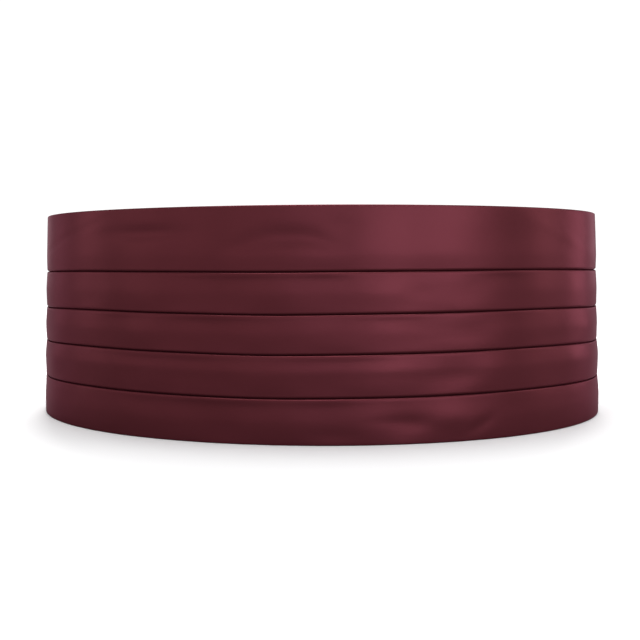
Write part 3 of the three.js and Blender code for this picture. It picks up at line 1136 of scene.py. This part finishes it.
# %% The clasp
PLATE_THICK = 2.4 * MM
PLATE_INNER = -6.4 * MM  # how far out its inner face lies
PLATE_BEVEL = 0.5 * MM
PLATE_HALF_WIDE = 22 * MM
PLATE_HALF_HIGH = 21.5 * MM
PLATE_CORNER = 3.6 * MM
SLOT_HALF_HIGH = 18.5 * MM
SLOT_CORNER = 3 * MM
CORNER_POINTS = 9
STRIP_CUTS = np.linspace(-20, 20, 17) * MM  # they let the flat plate bend smoothly
WELD = 0.002 * MM  # points as close as this become one


def rounded_outline(half_wide, half_high, radius, centre):
    """Points round a rounded rectangle, in metres."""
    points = []
    for quarter, (sx, sy) in enumerate(((1, 1), (-1, 1), (-1, -1), (1, -1))):
        for a in np.radians(90 * quarter + np.linspace(0, 90, CORNER_POINTS)):
            x = centre + sx * (half_wide - radius) + radius * math.cos(a)
            points.append((x, sy * (half_high - radius) + radius * math.sin(a)))
    return points


def clasp_piece():
    curve = bpy.data.curves.new("plate", "CURVE")
    curve.dimensions = "2D"
    curve.fill_mode = "BOTH"
    curve.extrude = PLATE_THICK / 2 - PLATE_BEVEL
    curve.bevel_depth = PLATE_BEVEL
    curve.bevel_resolution = 2
    wide, high = PLATE_HALF_WIDE - PLATE_BEVEL, PLATE_HALF_HIGH - PLATE_BEVEL
    outlines = [rounded_outline(wide, high, PLATE_CORNER, 0)]
    wide, high = SLOT_HALF_WIDE * MM + PLATE_BEVEL, SLOT_HALF_HIGH + PLATE_BEVEL
    for middle in (-SLOT_MIDDLE * MM, SLOT_MIDDLE * MM):
        outlines.append(rounded_outline(wide, high, SLOT_CORNER, middle))
    for outline in outlines:
        spline = curve.splines.new("POLY")
        spline.points.add(len(outline) - 1)
        for point, (x, y) in zip(spline.points, outline):
            point.co = (x, y, 0, 1)
        spline.use_cyclic_u = True
    flat = bpy.data.objects.new("plate", curve)
    bpy.context.scene.collection.objects.link(flat)
    depsgraph = bpy.context.evaluated_depsgraph_get()
    mesh = bpy.data.meshes.new_from_object(flat.evaluated_get(depsgraph))
    bpy.data.objects.remove(flat)
    work = bmesh.new()
    work.from_mesh(mesh)
    bmesh.ops.remove_doubles(work, verts=work.verts, dist=WELD)
    for cut in STRIP_CUTS:
        parts = work.verts[:] + work.edges[:] + work.faces[:]
        bmesh.ops.bisect_plane(work, geom=parts, plane_co=(cut, 0, 0), plane_no=(1, 0, 0))
    for vert in work.verts:
        along = LOOP_LENGTH / 2 + vert.co.x
        out = PLATE_INNER + PLATE_THICK / 2 + vert.co.z
        vert.co = Vector(wall(along, out, MIDDLE_UP + vert.co.y))
    work.to_mesh(mesh)
    work.free()
    piece = finished_piece("moulded_clasp", mesh, PLASTIC)
    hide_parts("clasp")
    return piece


clasp = clasp_piece()
sharp = bmesh.new()
sharp.from_mesh(clasp.data)
open_edges = sum(1 for edge in sharp.edges if not edge.is_manifold)
sharp.free()
print(f"{clasp.name}: {len(clasp.data.polygons)} faces, {open_edges} open edges")

# %% [markdown]
# The floor is a plain pale disc. In the picture it is white up to the hem, and yet it throws
# little light on the lower pleats, as if dark cards stood round the set. So the camera's
# rays meet a pale surface on it, and all other rays a darker one.

# %% The floor
FLOOR_RADIUS = 1.5  # metres
RIM_POINTS = 96
FLOOR_SEEN = 0.85
FLOOR_BOUNCE = 0.18


def grey(value):
    return (value, value, value, 1)


floor_mesh = bpy.data.meshes.new("floor")
rim_turns = np.linspace(0, 2 * math.pi, RIM_POINTS + 1)[:-1]
rim = [(FLOOR_RADIUS * math.cos(a), FLOOR_RADIUS * math.sin(a), 0) for a in rim_turns]
floor_mesh.from_pydata(rim, [], [tuple(range(len(rim)))])
floor = bpy.data.objects.new("floor", floor_mesh)
bpy.context.scene.collection.objects.link(floor)
floor_material, floor_tree, floor_shader = new_material(
    "floor_white", Base_Color=grey(FLOOR_SEEN), Roughness=0.9, Specular_IOR_Level=0.0
)
dim = add_node(floor_tree, "ShaderNodeBsdfDiffuse", {"Color": grey(FLOOR_BOUNCE)})
ray = add_node(floor_tree, "ShaderNodeLightPath")
card = add_node(floor_tree, "ShaderNodeMixShader", {0: ray.outputs["Is Camera Ray"]})
floor_tree.links.new(dim.outputs[0], card.inputs[1])
floor_tree.links.new(floor_shader.outputs[0], card.inputs[2])
floor_tree.links.new(card.outputs[0], floor_tree.nodes["Material Output"].inputs["Surface"])
floor_mesh.materials.append(floor_material)
print(f"The floor is {2 * FLOOR_RADIUS:.0f} m across.")

# %% [markdown]
# Satin draws its lamps out into long soft streaks, so the light decides where the pleats are
# bright. One wide box could only give one broad streak. A ring of narrow boxes round the
# front, each with its own power, sets every stretch of the front by itself.
# Two more boxes behind the loop light the floor alone, by light linking, so that the floor
# is white beside the hem and shaded only in front of it.

# %% The ring of soft boxes
# One row for each box: azimuth from the front towards +X and elevation in degrees, and power
# in watts.
BOX_RING = (
    (-135, 11, 0.2), (-110, 1, 0.2), (-85, 11, 0.6), (-60, 11, 0.4), (-40, 11, 0.35),
    (-20, 11, 0.35), (0, 11, 0.75), (20, 11, 0.8), (24, 1, 0.65), (32, 11, 0.5), (44, 11, 1.3),
    (56, 11, 0.3), (85, 11, 0.7), (85, 30, 1.1), (110, 1, 0.95), (135, 11, 0.3),
)
WHITE = (1, 1, 1)
COOL = (0.96, 1.04, 1.16)
COOL_AZIMUTHS = (0, 50)  # the boxes at the front right are a little cooler
BOX_WIDE = 0.36
BOX_TALL = 0.5
BOX_AWAY = 1.3  # from the middle of the loop
FLOOR_BOXES = ((-1, 9.0), (1, 6.0))  # side, and power in watts
FLOOR_BOX_AZIMUTH = 155
FLOOR_BOX_ELEVATION = 50


def hang_light(light, name, azimuth, elevation, distance):
    """Puts a light in its direction, facing the middle of the loop."""
    lamp = bpy.data.objects.new(name, light)
    a, e = math.radians(azimuth), math.radians(elevation)
    way = Vector((math.sin(a) * math.cos(e), -math.cos(a) * math.cos(e), math.sin(e)))
    lamp.location = way * distance + Vector((0, 0, MIDDLE_UP))
    lamp.rotation_mode = "QUATERNION"
    lamp.rotation_quaternion = way.to_track_quat("Z", "Y")
    bpy.context.scene.collection.objects.link(lamp)
    return lamp


def hang_box(name, azimuth, elevation, power, colour=WHITE):
    light = bpy.data.lights.new(name, "AREA")
    light.shape = "RECTANGLE"
    light.size = BOX_WIDE
    light.size_y = BOX_TALL
    light.energy = power
    light.color = colour
    return hang_light(light, name, azimuth, elevation, BOX_AWAY)


for azimuth, elevation, power in BOX_RING:
    colour = COOL if COOL_AZIMUTHS[0] <= azimuth <= COOL_AZIMUTHS[1] else WHITE
    hang_box(f"soft_box_{elevation}_{azimuth}", azimuth, elevation, power, colour)

floor_only = bpy.data.collections.new("floor_only")
floor_only.objects.link(floor)
for side, power in FLOOR_BOXES:
    name = f"floor_box_{side}"
    lamp = hang_box(name, side * FLOOR_BOX_AZIMUTH, FLOOR_BOX_ELEVATION, power)
    lamp.light_linking.receiver_collection = floor_only
print(f"{len(BOX_RING)} boxes round the front and {len(FLOOR_BOXES)} on the floor")

# %% [markdown]
# A sun with a very wide disc, almost straight overhead, lights the upper part of each pleat,
# and a dim white room fills the shade. The camera sees the room brighter than it lights, as
# the white backdrop of the picture.

# %% The overhead light and the room
SUN_STRENGTH = 2.7
SUN_WIDTH_DEG = 45
SUN_AZIMUTH = 180
SUN_ELEVATION = 86
SUN_AWAY = 2.0
ROOM_STRENGTH = 0.25
ROOM_SEEN = 1.1

sun = bpy.data.lights.new("overhead", "SUN")
sun.energy = SUN_STRENGTH
sun.angle = math.radians(SUN_WIDTH_DEG)
hang_light(sun, "overhead", SUN_AZIMUTH, SUN_ELEVATION, SUN_AWAY)

world = bpy.data.worlds.new("studio")
bpy.context.scene.world = world
world.use_nodes = True
world_tree = world.node_tree
room = world_tree.nodes["Background"]
room.inputs["Color"].default_value = grey(1)
room.inputs["Strength"].default_value = ROOM_STRENGTH
seen = add_node(world_tree, "ShaderNodeBackground", {"Color": grey(1), "Strength": ROOM_SEEN})
ray = add_node(world_tree, "ShaderNodeLightPath")
both = add_node(world_tree, "ShaderNodeMixShader", {0: ray.outputs["Is Camera Ray"]})
world_tree.links.new(room.outputs[0], both.inputs[1])
world_tree.links.new(seen.outputs[0], both.inputs[2])
world_tree.links.new(both.outputs[0], world_tree.nodes["World Output"].inputs[0])
bpy.context.scene.view_settings.view_transform = "Standard"
